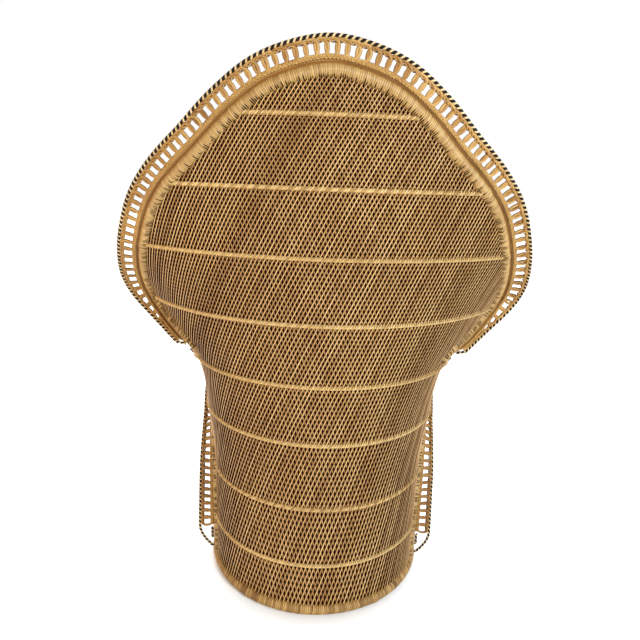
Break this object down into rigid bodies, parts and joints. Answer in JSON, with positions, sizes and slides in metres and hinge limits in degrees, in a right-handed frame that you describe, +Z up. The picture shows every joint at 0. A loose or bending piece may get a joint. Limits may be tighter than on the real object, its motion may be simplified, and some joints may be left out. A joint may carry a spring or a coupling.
{
  "type": "peacock chair",
  "caption": "Woven cane peacock chair: a round pedestal seat with low curved arms under a tall fan-shaped back with a looped border.",
  "frame": {"origin": "middle of the footprint box on the floor plane", "axes": "+Z up, the seat looks toward -Y, +X is the sitter's left"},
  "size_m": [1.052, 0.7646, 1.4334],
  "materials": {
    "cane_weave": "natural cane, satin",
    "cane_wrap": "split cane, satin",
    "cane_dark": "dark stained cane",
    "cane_border": "plaited cane, satin",
    "rattan_pole": "peeled rattan pole",
    "twisted_cord": "black and natural twisted cord"
  },
  "bodies": {
    "root": {"base_hoop": "cane_wrap", "seat_hoop": "rattan_pole", "pedestal_post_1": "rattan_pole", "pedestal_post_2": "rattan_pole", "pedestal_post_3": "rattan_pole", "pedestal_post_4": "rattan_pole", "pedestal_post_5": "rattan_pole", "pedestal_post_6": "rattan_pole", "seat_bar_1": "rattan_pole", "seat_bar_2": "rattan_pole", "seat_bar_3": "rattan_pole", "seat_deck": "cane_weave", "back_lattice_1": "cane_weave", "back_band_1": "cane_wrap", "back_lattice_2": "cane_weave", "back_band_2": "cane_wrap", "back_lattice_3": "cane_weave", "back_band_3": "cane_wrap", "back_lattice_4": "cane_weave", "back_band_4": "cane_wrap", "back_lattice_5": "cane_weave", "back_band_5": "cane_wrap", "back_lattice_6": "cane_weave", "back_band_6": "cane_wrap", "back_lattice_7": "cane_weave", "back_band_7": "cane_wrap", "back_lattice_8": "cane_weave", "back_band_8": "cane_wrap", "back_lattice_9": "cane_weave", "front_lattice_1": "cane_weave", "front_band_1": "cane_wrap", "front_lattice_2": "cane_weave", "front_band_2": "cane_wrap", "front_lattice_3": "cane_weave", "front_seat_roll": "cane_wrap", "fan_rim_roll": "cane_wrap", "fan_bead": "cane_dark", "fan_loop_border": "cane_border", "fan_edge_cord": "twisted_cord", "arm_roll_left": "cane_wrap", "arm_loop_border_left": "cane_border", "arm_edge_cord_left": "twisted_cord", "post_cord_left": "twisted_cord", "arm_roll_right": "cane_wrap", "arm_loop_border_right": "cane_border", "arm_edge_cord_right": "twisted_cord", "post_cord_right": "twisted_cord"}
  },
  "joints": []
}
